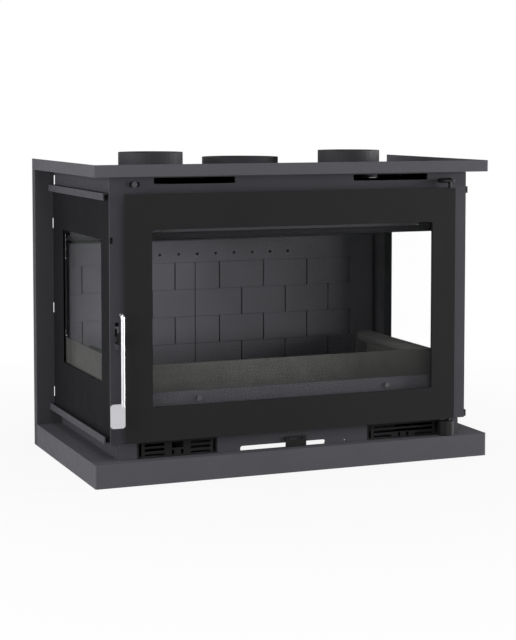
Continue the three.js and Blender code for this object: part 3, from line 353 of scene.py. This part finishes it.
FINISHES = {
    RIM: ["top_rim", "plinth_frame"],
    SHADED_UPRIGHT: pair("upright"),
    BODY: ["front_frame", "base_front_panel", *pair("glass_rail_top"), *pair("glass_rail_bottom")],
    SHADE: ["base_tray", "rear_panel", "rear_duct", "firebox_top", "bottom_plate", "air_control_box",
            "baffle_hanger", *pair("side_upper_panel"), *pair("rear_post")],
    HEARTH: ["hearth_apron"],
    DOOR: ["door_frame", *pair("vent_grille")],
    COLLAR: ["flue_collar", *pair("air_collar"), "top_plate"],
    DARK: ["air_slide", "upper_hinge", "lower_hinge", "door_glass_retainer"],
    RUBBER: ["latch_keeper", "latch_claw"],
    SOOTED_LIT_TOPS: ["airwash_deflector"],
    BOLT: ["blank_bolt", "handle_pivot_pin", *pair("apron_bolt")],
    BRIGHT: ["handle_lever"],
    IRON: ["front_log_guard", *pair("side_log_guard"), *pair("side_log_rail")],
    BRICK: ["hearth_slab", "baffle_plate"],
    BOARD: ["secondary_air_strip", *pair("brick_board")],
    ROPE: ["door_seal", *pair("glass_seal_top"), *pair("glass_seal_bottom")],
    DOOR_GLASS: ["door_glass"],
}
for finish, names in FINISHES.items():
    for name in names:
        NODES[name].data.materials.clear()
        NODES[name].data.materials.append(finish)


def bevel(names, width, segments=2, angle=40):
    """Rounds the sharp edges as a bend or a deburred cut does."""
    for name in names:
        modifier = NODES[name].modifiers.new("edge", "BEVEL")
        modifier.width = width
        modifier.segments = segments
        modifier.limit_method = "ANGLE"
        modifier.angle_limit = math.radians(angle)
        modifier.harden_normals = False
        modifier.use_clamp_overlap = True


def finished(name, mesh, *materials):
    """Object in the scene made of a bmesh, which is freed."""
    data = bpy.data.meshes.new(name)
    mesh.to_mesh(data)
    mesh.free()
    made = bpy.data.objects.new(name, data)
    bpy.context.scene.collection.objects.link(made)
    for material in materials:
        data.materials.append(material)
    return made


# ---------------------------------------------------------------- side glasses
def glass_pane(side):
    """Ceramic pane with a wide black print round a clear window, as one closed sheet."""
    name = "left" if side < 0 else "right"
    low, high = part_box(f"side_glass_{name}")
    ys = [low.y, WINDOW_FRONT, WINDOW_BACK, high.y]
    zs = [low.z, WINDOW_FOOT, WINDOW_HEAD, high.z]
    mesh = bmesh.new()
    grid = {}
    for layer, x in enumerate((low.x, high.x)):
        for i, y in enumerate(ys):
            for j, z in enumerate(zs):
                grid[layer, i, j] = mesh.verts.new((x, y, z))
    for layer in (0, 1):
        for i in range(3):
            for j in range(3):
                corners = [grid[layer, i, j], grid[layer, i + 1, j], grid[layer, i + 1, j + 1],
                           grid[layer, i, j + 1]]
                face = mesh.faces.new(corners if layer else corners[::-1])
                face.material_index = 1 if (i, j) == (1, 1) else 0
    for i in range(3):
        for j in (0, 3):
            ring = [grid[0, i, j], grid[0, i + 1, j], grid[1, i + 1, j], grid[1, i, j]]
            mesh.faces.new(ring if j == 0 else ring[::-1])
    for j in range(3):
        for i in (0, 3):
            ring = [grid[0, i, j], grid[1, i, j], grid[1, i, j + 1], grid[0, i, j + 1]]
            mesh.faces.new(ring if i == 0 else ring[::-1])
    bmesh.ops.recalc_face_normals(mesh, faces=mesh.faces)
    pane = finished(f"side_pane_{name}", mesh, PRINT, SIDE_GLASS)
    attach(pane, "casing")
    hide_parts(f"side_glass_{name}")


glass_pane(-1)
glass_pane(1)


# ---------------------------------------------------------------- small fittings at the left glass
def folded_strip(name, section, ends, material):
    """Solid with an outline in x and z, run along y between its two ends."""
    mesh = bmesh.new()
    near, far = [[mesh.verts.new((x, y, z)) for x, z in section] for y in ends]
    mesh.faces.new(near)
    mesh.faces.new(far[::-1])
    for i in range(len(section)):
        j = (i + 1) % len(section)
        mesh.faces.new([near[i], far[i], far[j], near[j]])
    bmesh.ops.recalc_face_normals(mesh, faces=mesh.faces)
    edges = [edge for edge in mesh.edges if edge.calc_length() < LONGEST_ROUNDED_EDGE]
    bmesh.ops.bevel(mesh, geom=edges, offset=FITTING_ROUNDING, segments=2, affect="EDGES", profile=0.5)
    strip = finished(name, mesh, material)
    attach(strip, "casing")


def angle(x, depth, heights, sheet):
    """Section of an angle strip: upright leaf at x, foot turned inwards by depth."""
    z0, z1 = heights
    step = z0 + sheet
    return [(x, z0), (x + depth, z0), (x + depth, step), (x + sheet, step), (x + sheet, z1), (x, z1)]


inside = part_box("side_glass_left")[1].x
folded_strip("left_low_plate", angle(inside + PLATE_CLEARANCE, PLATE_FOOT, PLATE_HEIGHTS, PLATE_SHEET),
             PLATE_ENDS, LOW_PLATE)
for place, heights in CLIP_HEIGHTS.items():
    folded_strip(f"left_clip_{place}", angle(inside + CLIP_CLEARANCE, CLIP_FOOT, heights, CLIP_SHEET),
                 CLIP_ENDS, PALE)
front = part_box("front_frame")[0]
left_edge, right_edge = (front.x + offset for offset in PLUG_EDGE)
foot, head = PLUG_HEIGHTS
folded_strip("left_edge_plug", [(left_edge, foot), (right_edge, foot), (right_edge, head), (left_edge, head)],
             [front.y - offset for offset in PLUG_FACE], RUBBER)


# ---------------------------------------------------------------- edges
bevel(["top_rim", "plinth_frame", *pair("upright")], SURROUND_EDGE, 3)
bevel(["front_frame", "base_front_panel", "door_frame", *pair("glass_rail_top"), *pair("glass_rail_bottom")],
      SHEET_EDGE)
bevel(["front_log_guard", *pair("side_log_guard")], GUARD_EDGE)
bevel(["handle_lever"], HANDLE_EDGE)


# ---------------------------------------------------------------- floor, light and camera
def studio_floor():
    """Floor that looks white to the camera and fades to a soft shadow near the object."""
    mesh = bmesh.new()
    signs = ((-1, -1), (1, -1), (1, 1), (-1, 1))
    mesh.faces.new([mesh.verts.new((x * FLOOR_HALF, y * FLOOR_HALF, 0)) for x, y in signs])
    n = Nodes("studio_floor")
    white = n.add("ShaderNodeEmission")
    white.inputs["Strength"].default_value = 1
    diffuse = n.add("ShaderNodeBsdfDiffuse")
    diffuse.inputs["Color"].default_value = (FLOOR_GREY, FLOOR_GREY, FLOOR_GREY, 1)
    path = n.add("ShaderNodeLightPath")
    seen = n.maths("MAXIMUM", path.outputs["Is Camera Ray"], path.outputs["Is Transmission Ray"])
    seen = n.maths("MAXIMUM", seen, path.outputs["Is Glossy Ray"])
    length = n.add("ShaderNodeVectorMath", operation="LENGTH")
    n.link(n.position, length.inputs[0])
    far = n.ramp(n.maths("DIVIDE", length.outputs["Value"], FLOOR_FADE), (0.12, 0.91), (0.5, 1.0))
    share = n.maths("MULTIPLY", seen, far)
    shader = n.add("ShaderNodeMixShader")
    n.link(share, shader.inputs["Fac"])
    n.link(diffuse.outputs["BSDF"], shader.inputs[1])
    n.link(white.outputs["Emission"], shader.inputs[2])
    n.link(shader.outputs["Shader"], n.output.inputs["Surface"])
    finished("studio_floor", mesh, n.material)


def studio_world(level):
    """Even light of one level, behind which the camera sees white."""
    world = bpy.data.worlds.new("studio")
    bpy.context.scene.world = world
    world.use_nodes = True
    tree = world.node_tree
    tree.nodes.clear()
    output = tree.nodes.new("ShaderNodeOutputWorld")
    light = tree.nodes.new("ShaderNodeBackground")
    light.inputs["Color"].default_value = (1, 1, 1, 1)
    light.inputs["Strength"].default_value = level
    white = tree.nodes.new("ShaderNodeBackground")
    white.inputs["Color"].default_value = (1, 1, 1, 1)
    path = tree.nodes.new("ShaderNodeLightPath")
    first = tree.nodes.new("ShaderNodeMath")
    first.operation = "MAXIMUM"
    tree.links.new(path.outputs["Is Camera Ray"], first.inputs[0])
    tree.links.new(path.outputs["Is Transmission Ray"], first.inputs[1])
    mix = tree.nodes.new("ShaderNodeMixShader")
    tree.links.new(first.outputs["Value"], mix.inputs["Fac"])
    tree.links.new(light.outputs["Background"], mix.inputs[1])
    tree.links.new(white.outputs["Background"], mix.inputs[2])
    tree.links.new(mix.outputs["Shader"], output.inputs["Surface"])


def area_light(name, place, target, size, power):
    data = bpy.data.lights.new(name, "AREA")
    data.shape = "RECTANGLE"
    data.size, data.size_y = size
    data.energy = power
    lamp = bpy.data.objects.new(name, data)
    bpy.context.scene.collection.objects.link(lamp)
    lamp.location = place
    lamp.rotation_euler = (Vector(target) - Vector(place)).to_track_quat("-Z", "Y").to_euler()


studio_floor()
studio_world(WORLD_LEVEL)
area_light("key_right", (3.88, -0.97, 0.5), (0, 0, 0.3), (1.6, 1.2), 270)
area_light("near_left", (-1.7, -0.9, 0.6), (-0.2, 0, 0.3), (0.8, 0.8), 13)
area_light("side_left", (-3.98, 0.35, 1.0), (0, 0, 0.3), (1.8, 1.4), 71)
area_light("fill_front", (-0.43, -2.43, 3.45), (0, 0, 0.3), (2.0, 1.4), 50)

camera_data = bpy.data.cameras.new("camera")
camera_data.sensor_width = CAMERA_SENSOR
camera_data.lens = CAMERA_LENS
camera_data.shift_y = CAMERA_SHIFT
camera = bpy.data.objects.new("camera", camera_data)
bpy.context.scene.collection.objects.link(camera)
camera.location = CAMERA_PLACE
camera.rotation_euler = (math.radians(90 - CAMERA_PITCH), 0, math.radians(CAMERA_TURN))
bpy.context.scene.camera = camera
bpy.context.scene.view_settings.view_transform = "Standard"
